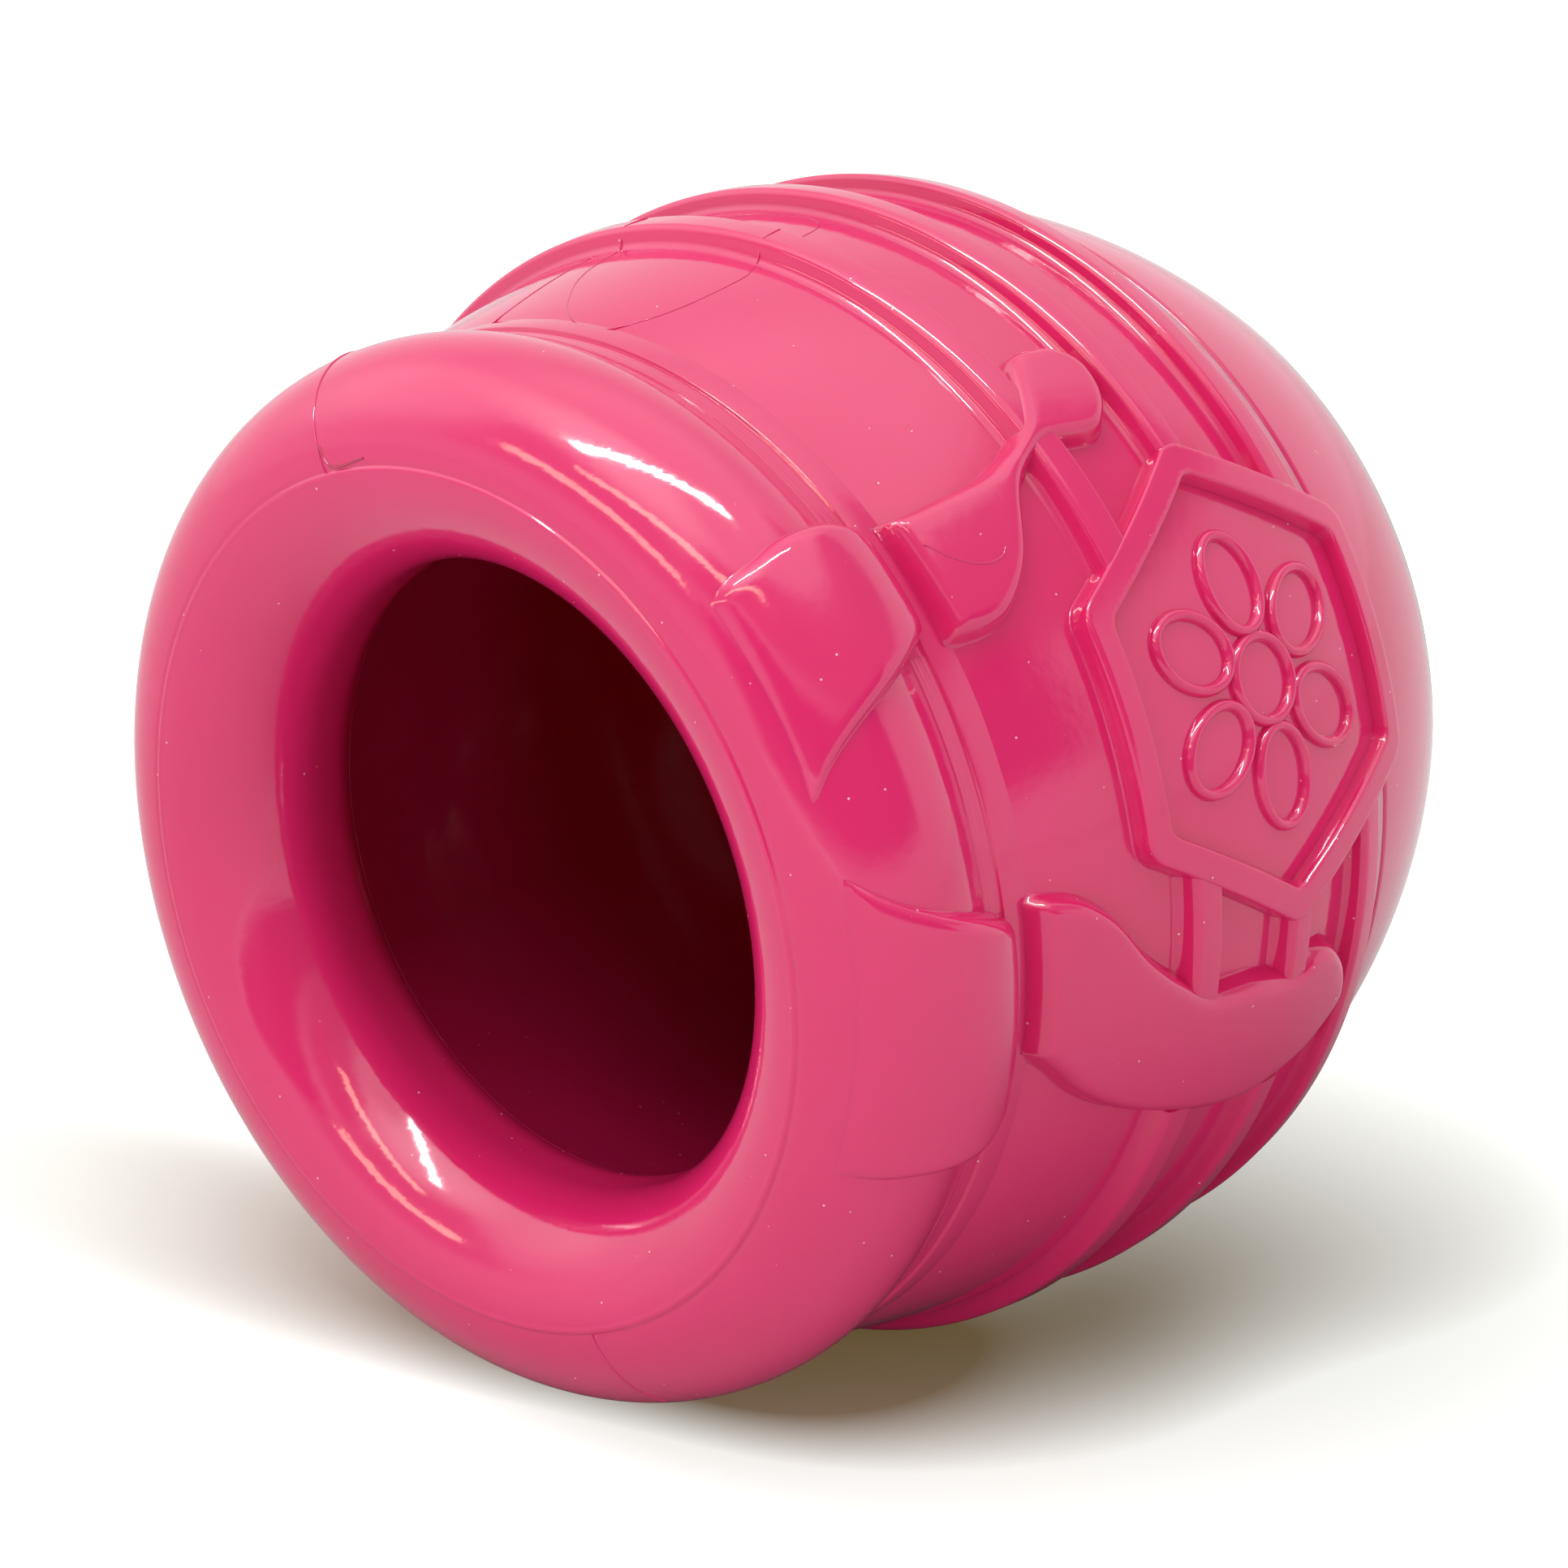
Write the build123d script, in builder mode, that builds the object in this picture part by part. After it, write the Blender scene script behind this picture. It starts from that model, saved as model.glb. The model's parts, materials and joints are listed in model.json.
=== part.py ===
"""A rubber treat pot that lies on its side: a barrel with a rolled lip, three hoops, a hexagon and honey drips.

The toy is one moulding. Each moulded feature is a solid of its own, and they meet face to face.
Places along the pot are measured from the front of the mouth, along the pot's axis, towards the base.
Angles go round that axis, from straight up towards +X. The pot lies on its front and middle hoops, on Z = 0.
"""

import os
from math import atan2, cos, radians, sin, sqrt

from build123d import *

# Lip: a fat round roll with a short straight throat behind its narrowest place
lip_roll_radius = 8.25
throat_length = 4.3
lip_rise = 0.23

# Groove between the lip and the barrel
groove_depth = 0.35
groove_width = 2.6

# Barrel and base, bounded by one arc in front of the belly and one behind it that fall away from it
belly_radius = 43.0
belly_place = 41.2
shoulder_fall = 3.49
pot_length = 85.8
base_fall = 20.5
base_corner_radius = 12.0
base_joint_share = 0.354

# Hollow inside
wall_thickness = 10.0
base_thickness = 11.0
hollow_corner_radius = 6.0

# Hoops round the barrel
front_hoop_place = 33.0
hoop_pitch = 9.55
hoop_width = 2.8
hoop_height = 1.6
hoop_edge_bevel = 0.5
rest_flat_depth = 0.2

# Hexagon frame, with a corner on either side along the hoops
hexagon_angle = 69.7
hexagon_place = 42.3
hexagon_outer_radius = 18.3
hexagon_bar = 3.3
hexagon_corner_radius = 1.4
hexagon_height = 2.2

# Flower of raised lines in the middle of the hexagon
petal_count = 6
petal_length = 8.0
petal_width = 6.2
petal_ring_radius = 7.2
flower_eye_radius = 3.6
flower_line_width = 1.0
flower_height = 1.0

# Honey on the lip: two pads that grow out of the lip's front and reach over the groove
pad_height = 1.5
pad_front_place = 1.5
pad_reach = 2.3
pad_corner_radius = 2.0
upper_pad_angle = 48.0
upper_pad_width = 16.8
lower_pad_angle = 95.0
lower_pad_width = 22.5

# Honey on the barrel: two drips, each with a low bridge in front of it that fills the groove
drip_height = 1.9
bridge_height = 0.4
drip_setback = 1.4
upper_drip_angle = 43.0
upper_drip_width = 18.0
lower_drip_angle = 98.0
lower_drip_width = 22.2
lower_drip_length = 34.6

# Outlines as (across, along) shares of a width and a length, from the front towards the base
upper_drip_shares = [(-0.075, 0.0), (-0.06, 0.184), (-0.09, 0.42), (-0.19, 0.571), (-0.46, 0.721),
                     (-0.49, 0.86), (-0.37, 0.979), (-0.17, 0.962), (-0.035, 0.839), (-0.07, 0.646),
                     (0.07, 0.463), (0.32, 0.34), (0.48, 0.163), (0.455, 0.0)]
lower_drip_shares = [(-0.477, 0.0), (-0.495, 0.032), (-0.42, 0.169), (-0.25, 0.27), (-0.095, 0.39),
                     (0.01, 0.537), (0.05, 0.737), (0.0, 0.821), (0.05, 0.916), (0.2, 0.981), (0.33, 0.947),
                     (0.45, 0.811), (0.5, 0.649), (0.44, 0.432), (0.324, 0.238), (0.16, 0.085), (0.03, 0.0)]
upper_pad_shares = [(-0.27, 0.0), (-0.37, 0.44), (-0.34, 0.8), (-0.22, 1.0), (0.19, 1.0), (0.45, 0.29), (0.64, 0.0)]
lower_pad_shares = [(-0.63, 0.0), (-0.515, 0.34), (-0.43, 0.75), (-0.3, 1.0), (0.2, 1.0), (0.38, 0.74), (0.375, 0.0)]

# Sizes that follow from the ones above
shoulder_radius = belly_radius - shoulder_fall
lip_back_radius = shoulder_radius + lip_rise
lip_ring_radius = lip_back_radius - sqrt(lip_roll_radius**2 - throat_length**2)
lip_length = lip_roll_radius + throat_length
throat_radius = lip_ring_radius - lip_roll_radius
groove_end = lip_length + groove_width
groove_floor_radius = shoulder_radius - groove_depth
bridge_radius = shoulder_radius + bridge_height
drip_front = groove_end + drip_setback
base_joint_place = belly_place + base_joint_share * (pot_length - belly_place)
hollow_radius = belly_radius - wall_thickness
hollow_end = pot_length - base_thickness
upper_drip_length = front_hoop_place + hoop_pitch - hoop_width / 2 - drip_front
hexagon_inner_radius = hexagon_outer_radius - hexagon_bar
hoop_places = [front_hoop_place + hoop_pitch * step for step in range(3)]
cut_reach = 2 * belly_radius


def arc_radius(fall, run):
    """Radius of an arc that starts level and falls by so much over a run."""
    return (fall**2 + run**2) / (2 * fall)


front_arc_radius = arc_radius(shoulder_fall, belly_place - groove_end)
rear_arc_radius = arc_radius(base_fall, pot_length - belly_place)
flare_arc_radius = arc_radius(hollow_radius - throat_radius, belly_place - lip_length)


def below_belly(radius, place):
    """How far an arc about the belly has come down towards the axis at a place."""
    return radius - sqrt(radius**2 - (place - belly_place) ** 2)


def barrel_radius(place):
    """Outside radius of the barrel and the base."""
    radius = front_arc_radius if place < belly_place else rear_arc_radius
    return belly_radius - below_belly(radius, place)


def hollow_wall(place):
    """Inside radius of the barrel and the base."""
    radius = flare_arc_radius if place < belly_place else rear_arc_radius - wall_thickness
    return hollow_radius - below_belly(radius, place)


# The pot's own axes: it tilts until the front and middle hoops lie on Z = 0, where its weight flattens them a little
crest_radii = [barrel_radius(place) + hoop_height for place in hoop_places]
tilt = atan2(crest_radii[1] - crest_radii[0], hoop_pitch)
hoop_flat = hoop_width / 2 - hoop_edge_bevel
floor_drop = max(
    crest_radii[0] * cos(tilt) - (hoop_places[0] - hoop_flat) * sin(tilt) - rest_flat_depth,
    lip_ring_radius * cos(tilt) - lip_roll_radius * sin(tilt) + lip_roll_radius,
)
mouth_reach = lip_roll_radius - lip_roll_radius * cos(tilt) + lip_ring_radius * sin(tilt)
along, up = Vector(0, cos(tilt), sin(tilt)), Vector(0, -sin(tilt), cos(tilt))
mouth_point = Vector(0, (mouth_reach - pot_length * cos(tilt)) / 2, floor_drop)
pot_axis = Axis(mouth_point, along)


def facing(angle, place):
    """Plane on the axis that looks outwards at an angle, with its own Y along the pot."""
    turn = radians(angle)
    side = Vector(1, 0, 0)
    outward = up * cos(turn) + side * sin(turn)
    around = side * cos(turn) - up * sin(turn)
    return Plane(origin=mouth_point + along * place, x_dir=around, z_dir=outward)


# Half sections are drawn at the hexagon's angle, so that a turned hoop starts and ends inside the hexagon
hexagon_outward = facing(hexagon_angle, hexagon_place).z_dir
section = Plane(origin=mouth_point, x_dir=hexagon_outward, z_dir=hexagon_outward.cross(along))


def arc_between(radius_at, start, end, height=0.0):
    """Arc of the barrel's or the hollow's wall from one place to another, on the section plane."""
    middle = (start + end) / 2
    return ThreePointArc(*[(radius_at(place) + height, place) for place in (start, middle, end)])


def skin_face(height, start, end):
    """Band on the barrel's outside, as thick as the height, for the section plane."""
    with BuildSketch() as band:
        with BuildLine():
            inner = arc_between(barrel_radius, start, end)
            outer = arc_between(barrel_radius, start, end, height)
            Line(inner @ 0, outer @ 0)
            Line(inner @ 1, outer @ 1)
        make_face()
    return band.sketch


def honey_face(shares, width, length):
    """Outline of a drip: a curve through the shares, with a straight bridge back to the lip."""
    points = [(width * across, length * forth) for across, forth in shares]
    bridge_foot = lip_length - drip_front
    with BuildSketch() as outline:
        with BuildLine():
            Spline(*points)
            Polyline(points[-1], (points[-1][0], bridge_foot), (points[0][0], bridge_foot), points[0])
        make_face()
    return outline.sketch


def hexagon_face(radius):
    """Hexagon with a corner on either side of the pot's length."""
    with BuildSketch() as outline:
        RegularPolygon(radius, 6)
        fillet(outline.vertices(), hexagon_corner_radius)
    return outline.sketch


# Outlines that more than one piece uses
upper_drip_face = honey_face(upper_drip_shares, upper_drip_width, upper_drip_length)
lower_drip_face = honey_face(lower_drip_shares, lower_drip_width, lower_drip_length)
hexagon_outer_face = hexagon_face(hexagon_outer_radius)
hexagon_inner_face = hexagon_face(hexagon_inner_radius)

# Lip
with BuildPart() as lip:
    with BuildSketch(section):
        with Locations((lip_ring_radius, lip_roll_radius)):
            Circle(lip_roll_radius)
        with BuildLine():
            Polyline(
                (lip_ring_radius, lip_roll_radius), (throat_radius, lip_roll_radius), (throat_radius, lip_length),
                (lip_back_radius, lip_length), close=True,
            )
        make_face()
        with BuildLine():
            Polyline(
                (0, lip_length), (cut_reach, lip_length), (cut_reach, pot_length), (0, pot_length), close=True,
            )
        make_face(mode=Mode.SUBTRACT)
    revolve(axis=pot_axis)
lip.part.label = "lip"

# Barrel, with the floor of the groove at its front
with BuildPart() as barrel:
    with BuildSketch(section):
        with BuildLine():
            front = arc_between(barrel_radius, groove_end, belly_place)
            rear = arc_between(barrel_radius, belly_place, base_joint_place)
            hollow_front = arc_between(hollow_wall, lip_length, belly_place)
            hollow_rear = arc_between(hollow_wall, belly_place, base_joint_place)
            Polyline(
                hollow_front @ 0, (groove_floor_radius, lip_length), (groove_floor_radius, groove_end), front @ 0,
            )
            Line(rear @ 1, hollow_rear @ 1)
        make_face()
    revolve(axis=pot_axis)
barrel.part.label = "barrel"

# Base, closed by a flat end that the pot can stand on
with BuildPart() as base:
    with BuildSketch(section) as base_section:
        with BuildLine():
            rear = arc_between(barrel_radius, base_joint_place, pot_length)
            hollow_rear = arc_between(hollow_wall, base_joint_place, hollow_end)
            Line(hollow_rear @ 0, rear @ 0)
            Polyline(rear @ 1, (0, pot_length), (0, hollow_end), hollow_rear @ 1)
        make_face()
        fillet(base_section.vertices().sort_by_distance(rear @ 1)[0], base_corner_radius)
        fillet(base_section.vertices().sort_by_distance(hollow_rear @ 1)[0], hollow_corner_radius)
    revolve(axis=pot_axis)
base.part.label = "base"

# Hoops, each interrupted by the hexagon and by the honey
hoops = {}
for name, place in zip(("front_hoop", "middle_hoop", "rear_hoop"), hoop_places):
    with BuildPart() as hoop:
        with BuildSketch(section) as hoop_section:
            with BuildLine():
                foot = arc_between(barrel_radius, place - hoop_width / 2, place + hoop_width / 2)
                crest = barrel_radius(place) + hoop_height
                Polyline(foot @ 0, (crest, place - hoop_width / 2), (crest, place + hoop_width / 2), foot @ 1)
            make_face()
            chamfer(hoop_section.vertices().sort_by(Axis.X)[-2:], hoop_edge_bevel)
        revolve(axis=pot_axis)
        with BuildSketch(facing(hexagon_angle, hexagon_place)):
            add(hexagon_outer_face)
        with BuildSketch(facing(upper_drip_angle, drip_front)):
            add(upper_drip_face)
        with BuildSketch(facing(lower_drip_angle, drip_front)):
            add(lower_drip_face)
        extrude(amount=cut_reach, mode=Mode.SUBTRACT)
        split(bisect_by=Plane.XY)
    hoop.part.label = name
    hoops[name] = hoop

# Hexagon frame
with BuildPart() as hexagon_frame:
    with BuildSketch(facing(hexagon_angle, hexagon_place)):
        add(hexagon_outer_face)
        add(hexagon_inner_face, mode=Mode.SUBTRACT)
    extrude(amount=cut_reach)
    with BuildSketch(section):
        add(skin_face(hexagon_height, groove_end, belly_place))
        add(skin_face(hexagon_height, belly_place, hollow_end))
    revolve(axis=pot_axis, mode=Mode.INTERSECT)
hexagon_frame.part.label = "hexagon_frame"

# Flower: a ring in the middle and a ring of open petals
with BuildPart() as flower_emblem:
    with BuildSketch(facing(hexagon_angle, hexagon_place)):
        with PolarLocations(petal_ring_radius, petal_count):
            Ellipse(petal_length / 2, petal_width / 2)
        with PolarLocations(petal_ring_radius, petal_count):
            Ellipse(petal_length / 2 - flower_line_width, petal_width / 2 - flower_line_width, mode=Mode.SUBTRACT)
        Circle(flower_eye_radius)
        Circle(flower_eye_radius - flower_line_width, mode=Mode.SUBTRACT)
    extrude(amount=cut_reach)
    with BuildSketch(section):
        add(skin_face(flower_height, groove_end, belly_place))
        add(skin_face(flower_height, belly_place, hollow_end))
    revolve(axis=pot_axis, mode=Mode.INTERSECT)
flower_emblem.part.label = "flower_emblem"

# Honey pads, bounded outside by a larger roll that shares the lip's front, and inside by the lip and the bridges
pads = {}
for name, angle, shares, width in (
    ("upper_honey_pad", upper_pad_angle, upper_pad_shares, upper_pad_width),
    ("lower_honey_pad", lower_pad_angle, lower_pad_shares, lower_pad_width),
):
    pad_length = lip_length + pad_reach - pad_front_place
    with BuildPart() as pad:
        with BuildSketch(facing(angle, pad_front_place).offset(lip_ring_radius)) as pad_outline:
            with BuildLine():
                Polyline(*[(width * across, pad_length * forth) for across, forth in shares], close=True)
            make_face()
            fillet(pad_outline.vertices().sort_by(Axis.Y)[2:-2], pad_corner_radius)
        extrude(amount=cut_reach)
        with BuildSketch(section):
            with Locations((lip_ring_radius, lip_roll_radius + pad_height)):
                Circle(lip_roll_radius + pad_height)
            with Locations((lip_ring_radius, lip_roll_radius)):
                Circle(lip_roll_radius, mode=Mode.SUBTRACT)
            with BuildLine():
                Polyline(
                    (0, lip_length), (bridge_radius, lip_length), (bridge_radius, pot_length), (0, pot_length),
                    close=True,
                )
            make_face(mode=Mode.SUBTRACT)
        revolve(axis=pot_axis, mode=Mode.INTERSECT)
    pad.part.label = name
    pads[name] = pad

# Honey drips on the barrel
drips = {}
for name, angle, face in (
    ("upper_honey_drip", upper_drip_angle, upper_drip_face),
    ("lower_honey_drip", lower_drip_angle, lower_drip_face),
):
    with BuildPart() as drip:
        with BuildSketch(facing(angle, drip_front)):
            add(face)
        extrude(amount=cut_reach)
        with BuildSketch(section):
            add(skin_face(bridge_height, groove_end, drip_front))
            add(skin_face(drip_height, drip_front, belly_place))
            add(skin_face(drip_height, belly_place, hollow_end))
            with BuildLine():
                Polyline(
                    (groove_floor_radius, lip_length), (bridge_radius, lip_length), (bridge_radius, groove_end),
                    (groove_floor_radius, groove_end), close=True,
                )
            make_face()
        revolve(axis=pot_axis, mode=Mode.INTERSECT)
    drip.part.label = name
    drips[name] = drip

pieces = [lip, barrel, base, *hoops.values(), hexagon_frame, flower_emblem, *pads.values(), *drips.values()]
os.makedirs("parts", exist_ok=True)
for piece in pieces:
    export_step(piece.part, f"parts/{piece.part.label}.step")
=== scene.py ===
"""Looks of a rubber treat pot that lies on its side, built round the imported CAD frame.

Lengths are millimetres until a point is put on the pot, and metres after that.
A place is measured along the pot from the front of its mouth, and an angle round it, in degrees,
from straight up towards +X.
"""

import json
from math import asin, cos, degrees, pi, radians, sin, sqrt, tan

import bmesh
import bpy
import numpy as np
from mathutils import Matrix, Vector
from mathutils.geometry import delaunay_2d_cdt


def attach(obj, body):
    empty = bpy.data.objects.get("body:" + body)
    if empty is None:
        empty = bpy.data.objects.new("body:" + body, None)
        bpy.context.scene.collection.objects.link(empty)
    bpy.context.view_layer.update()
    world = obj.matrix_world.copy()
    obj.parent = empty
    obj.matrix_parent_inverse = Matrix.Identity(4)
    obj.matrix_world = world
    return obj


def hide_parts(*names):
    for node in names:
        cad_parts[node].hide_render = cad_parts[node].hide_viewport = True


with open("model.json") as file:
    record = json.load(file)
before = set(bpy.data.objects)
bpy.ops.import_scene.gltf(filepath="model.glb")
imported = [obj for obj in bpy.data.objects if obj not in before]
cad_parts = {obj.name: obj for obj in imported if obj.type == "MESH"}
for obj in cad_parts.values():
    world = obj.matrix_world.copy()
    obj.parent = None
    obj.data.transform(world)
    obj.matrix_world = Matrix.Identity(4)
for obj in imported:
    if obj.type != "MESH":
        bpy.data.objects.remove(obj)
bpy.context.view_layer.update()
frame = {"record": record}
MM = 0.001


def placed(origin, *axes):
    """Matrix of an origin and three axes."""
    return Matrix.Translation(origin) @ Matrix(axes).transposed().to_4x4()


# The pot's own axes, from the mouth that the record states inside the throat
THROAT_PLACE = 10.4
mouth = next(mount for mount in frame["record"]["mounts"] if mount["name"] == "mouth")
ALONG = -Vector(mouth["axis"]).normalized()
UP = Vector((0, -ALONG.z, ALONG.y))
SIDE = Vector((1, 0, 0))
MOUTH = Vector(mouth["pos_m"]) - ALONG * THROAT_PLACE * MM
POT_SPACE = placed(MOUTH, UP, SIDE, ALONG)

# Lip: a roll about a ring, a leaning back, and a throat that flares at its inner end
LIP_RING, LIP_ROLL = 32.7, 8.25
LIP_BACK, LIP_LEAN, LIP_CORE = 12.55, radians(18.0), 37.5
THROAT_RADIUS, THROAT_EDGE = LIP_RING - LIP_ROLL, 26.0
THROAT_FLARE, FLARE_LENGTH, FLARE_STEPS, FLARE_FADE = 0.64, 2.13, 6, 25.0

# Neck and shoulder
NECK_FLOOR, NECK_END = 39.72, 14.6
TOOL_LINES, TOOL_LINE_DEPTH, TOOL_LINE_REACH = (13.2, 13.65, 13.9), 0.015, 0.08
SHOULDER, SHOULDER_END, BELLY_START = 39.95, 17.1, 18.2
TUCK, TUCK_RADIUS = 0.6, 30.0  # how far the barrel reaches under the lip, and where inside it

# Belly, hollow and base: arcs that meet at the belly's place
BELLY_PLACE, BELLY_RADIUS, HOLLOW_RADIUS = 41.2, 43.0, 33.0
FRONT_ARC, REAR_ARC = 98.97, 58.77
HOLLOW_FRONT_ARC, HOLLOW_REAR_ARC = 52.28, 48.77
BASE_JOINT, HOLLOW_END, POT_LENGTH = 57.0, 74.8, 85.8
BASE_ARC_END, BASE_ROUND_START, BASE_ROUND, BASE_END_RADIUS = 72.0, 74.0, 12.0, 22.5
HOLLOW_ARC_END, HOLLOW_ROUND_START, HOLLOW_ROUND = 65.0, 66.0, 6.0
BARREL_RING, BASE_RING = 36.0, 20.0  # rings that the outlines are turned on

# Raised work
HOOP_HEIGHT, HOOP_FOOT_ROUND, HOOP_BACK_ROUND = 1.6, 0.8, 0.25
HOOP_SINK, HOOP_ROOT, FRONT_HOOP_PLACE = 0.004, 0.9, 32.2
HEXAGON_ANGLE, HEXAGON_PLACE, HEXAGON_HEIGHT, PANEL_RISE = 69.7, 42.3, 1.65, 0.4
FRAME_OUTSIDE, FRAME_INSIDE, PANEL = (18.1, 2.6), (15.2, 1.2), (15.6, 1.3)  # radius, corner
FLOWER_SINK = 0.1
DRIP_HEIGHT, DRIP_START, FLOW_MARK_HEIGHT = 1.9, 16.55, 1.89
BRIDGE_RADIUS, BRIDGE_RING, BRIDGE_OVERLAP = 39.9, 38.6, 0.2
PAD_ROLL = 9.75
HONEY_FOOT, DRIP_ROUND, PAD_ROUND = 0.35, 1.25, 1.3
ROOT_DEPTH = 1.2  # how far a raised patch reaches into the pot
LIP_PARTING_BEAD, CRACK_BEAD, BARREL_LINE_BEAD, FLOW_MARK_BEAD = 0.1, 0.09, 0.05, 0.07

# Fineness of the meshes
STEPS_ROUND = 360
ARC_STEP, HOLLOW_STEP, CORNER_STEP = 1.0, 1.2, 0.06
LOOP_STEP, CLOSING_STEP, CURVE_SHARES = 0.3, 0.4, 40
SLIVER = 1e-7


def part_way(value, low, high):
    """Share of the way from low to high, from 0 to 1."""
    return min(max((value - low) / (high - low), 0.0), 1.0)


def wall_radius(place, middle, front_arc, rear_arc):
    """Radius of a wall of two arcs."""
    arc = front_arc if place < BELLY_PLACE else rear_arc
    return middle - arc + sqrt(arc**2 - (place - BELLY_PLACE) ** 2)


def barrel_radius(place):
    """Outside radius of the barrel and the base."""
    return wall_radius(place, BELLY_RADIUS, FRONT_ARC, REAR_ARC)


def hollow_radius(place):
    """Inside radius of the barrel and the base."""
    return wall_radius(place, HOLLOW_RADIUS, HOLLOW_FRONT_ARC, HOLLOW_REAR_ARC)


def on_pot(place, angle, radius):
    """Point at a place, an angle and a radius."""
    turn = radians(angle)
    return MOUTH + ALONG * (place * MM) + (UP * cos(turn) + SIDE * sin(turn)) * (radius * MM)


def added(name, data):
    """Object of some data, linked into the scene."""
    made = bpy.data.objects.new(name, data)
    bpy.context.collection.objects.link(made)
    return made


# Wiring of node trees
class Value:
    """A number that a node gives, with Python's operators for Math nodes."""

    def __init__(self, web, socket):
        self.web, self.socket = web, socket

    def math(self, operation, *others):
        sockets = dict(enumerate((self, *others)))
        return self.web.value("ShaderNodeMath", {"operation": operation}, sockets)

    def __add__(self, other):
        return self.math("ADD", other)

    def __sub__(self, other):
        return self.math("SUBTRACT", other)

    def __mul__(self, other):
        return self.math("MULTIPLY", other)

    def __rsub__(self, other):
        return (self * -1.0).math("ADD", other)

    __radd__, __rmul__ = __add__, __mul__

    def smooth(self, low, high):
        """Goes smoothly from 0 at low to 1 at high."""
        return self.web.value("ShaderNodeMapRange", {"interpolation_type": "SMOOTHSTEP"},
                              {"Value": self, "From Min": low, "From Max": high}, "Result")


class Web:
    """A node tree that takes nodes by their type, settings and sockets."""

    def __init__(self, tree):
        self.tree = tree

    def node(self, kind, settings=None, sockets=None):
        made = self.tree.nodes.new(kind)
        for name, value in (settings or {}).items():
            setattr(made, name, value)
        for key, value in (sockets or {}).items():
            if isinstance(value, Value):
                value = value.socket
            if isinstance(value, bpy.types.NodeSocket):
                self.tree.links.new(value, made.inputs[key])
            else:
                made.inputs[key].default_value = value
        return made

    def value(self, kind, settings=None, sockets=None, output=0):
        """Number that a new node gives."""
        return Value(self, self.node(kind, settings, sockets).outputs[output])

    def mix(self, factor, first, second):
        """Mix of two colours."""
        return self.node("ShaderNodeMix", {"data_type": "RGBA"},
                         {0: factor, 6: first, 7: second}).outputs[2]

    def circle(self, resolution, radius):
        """Round curve."""
        return self.node("GeometryNodeCurvePrimitiveCircle", {"mode": "RADIUS"},
                         {"Resolution": resolution, "Radius": radius}).outputs["Curve"]

    def upright(self, path):
        """Curve whose outline stands along Z."""
        return self.node("GeometryNodeSetCurveNormal", {"mode": "Z_UP"},
                         {"Curve": path}).outputs["Curve"]


def empty_web(owner):
    """Emptied node tree of a material or a world."""
    owner.use_nodes = True
    owner.node_tree.nodes.clear()
    return Web(owner.node_tree)


# Rubber
PINK, PALE_PINK = (0.650, 0.0160, 0.119, 1.0), (0.720, 0.0195, 0.141, 1.0)
# The darkest pink is painted shade, for the hollow, the throat and the crack
PAINTED_SHADE_PINK, DUST_WHITE = (0.25, 0.0005, 0.008, 1.0), (0.95, 0.72, 0.76, 1.0)
CRACK_SHADE = 0.6


def pink_rubber():
    """Glossy moulded rubber: faint pink clouds, painted shade, a worn sheen, dust and a fine skin.
    """
    material = bpy.data.materials.new("pink_rubber")
    web = empty_web(material)
    spot = web.node("ShaderNodeTexCoord").outputs["Object"]

    def noise(scale, detail, roughness=0.55):
        return web.value("ShaderNodeTexNoise", None, {
            "Vector": spot, "Scale": scale, "Detail": detail, "Roughness": roughness})

    clouds = noise(55.0, 3.0)
    grain = noise(900.0, 2.0)
    rubbed = noise(160.0, 4.0, 0.65)
    # Painted shade: how far each point's colour goes to the darkest pink
    hollow = web.value("ShaderNodeAttribute", {"attribute_name": "in_hollow"}, output="Fac")

    cells = web.node("ShaderNodeTexVoronoi", None,
                     {"Vector": spot, "Scale": 700.0, "Randomness": 1.0})
    cell_pick = web.value("ShaderNodeSeparateColor", None, {"Color": cells.outputs["Color"]})
    cell_near = Value(web, cells.outputs["Distance"])
    speck = (1.0 - cell_near.smooth(0.03, 0.08)) * cell_pick.smooth(0.76, 0.82)
    dust = speck * (1.0 - hollow.smooth(0.0, 0.5))

    cloudy = (clouds - 0.5).math("MULTIPLY_ADD", 1.4, 0.5).math("MINIMUM", 1.0)
    # The clouded pink, darkened by the painted shade
    clean = web.mix(hollow, web.mix(cloudy, PINK, PALE_PINK), PAINTED_SHADE_PINK)
    skin = web.node("ShaderNodeBump", None, {
        "Strength": 0.17, "Distance": 0.0002,
        "Height": grain * 0.35 + rubbed * 0.65 + dust * 0.6})
    shader = web.node("ShaderNodeBsdfPrincipled", None, {
        "Base Color": web.mix(dust * 0.7, clean, DUST_WHITE),
        "Roughness": rubbed.smooth(0.3, 0.8) * 0.05 + 0.07 + dust * 0.4,
        "IOR": 1.65, "Normal": skin.outputs["Normal"], "Subsurface Weight": 0.12,
        "Subsurface Radius": (1.0, 0.25, 0.3), "Subsurface Scale": 0.0015})
    web.node("ShaderNodeOutputMaterial", None, {"Surface": shader.outputs["BSDF"]})
    return material


RUBBER = pink_rubber()


# Shapes that trees of geometry nodes make
def new_tree(name, inputs):
    """Geometry tree with named inputs: its web and the sockets that give them."""
    tree = bpy.data.node_groups.new(name, "GeometryNodeTree")
    tree.interface.new_socket("Geometry", in_out="INPUT", socket_type="NodeSocketGeometry")
    for title, kind in inputs:
        tree.interface.new_socket(title, in_out="INPUT", socket_type="NodeSocket" + kind)
    tree.interface.new_socket("Geometry", in_out="OUTPUT", socket_type="NodeSocketGeometry")
    web = Web(tree)
    return web, web.node("NodeGroupInput").outputs


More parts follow.
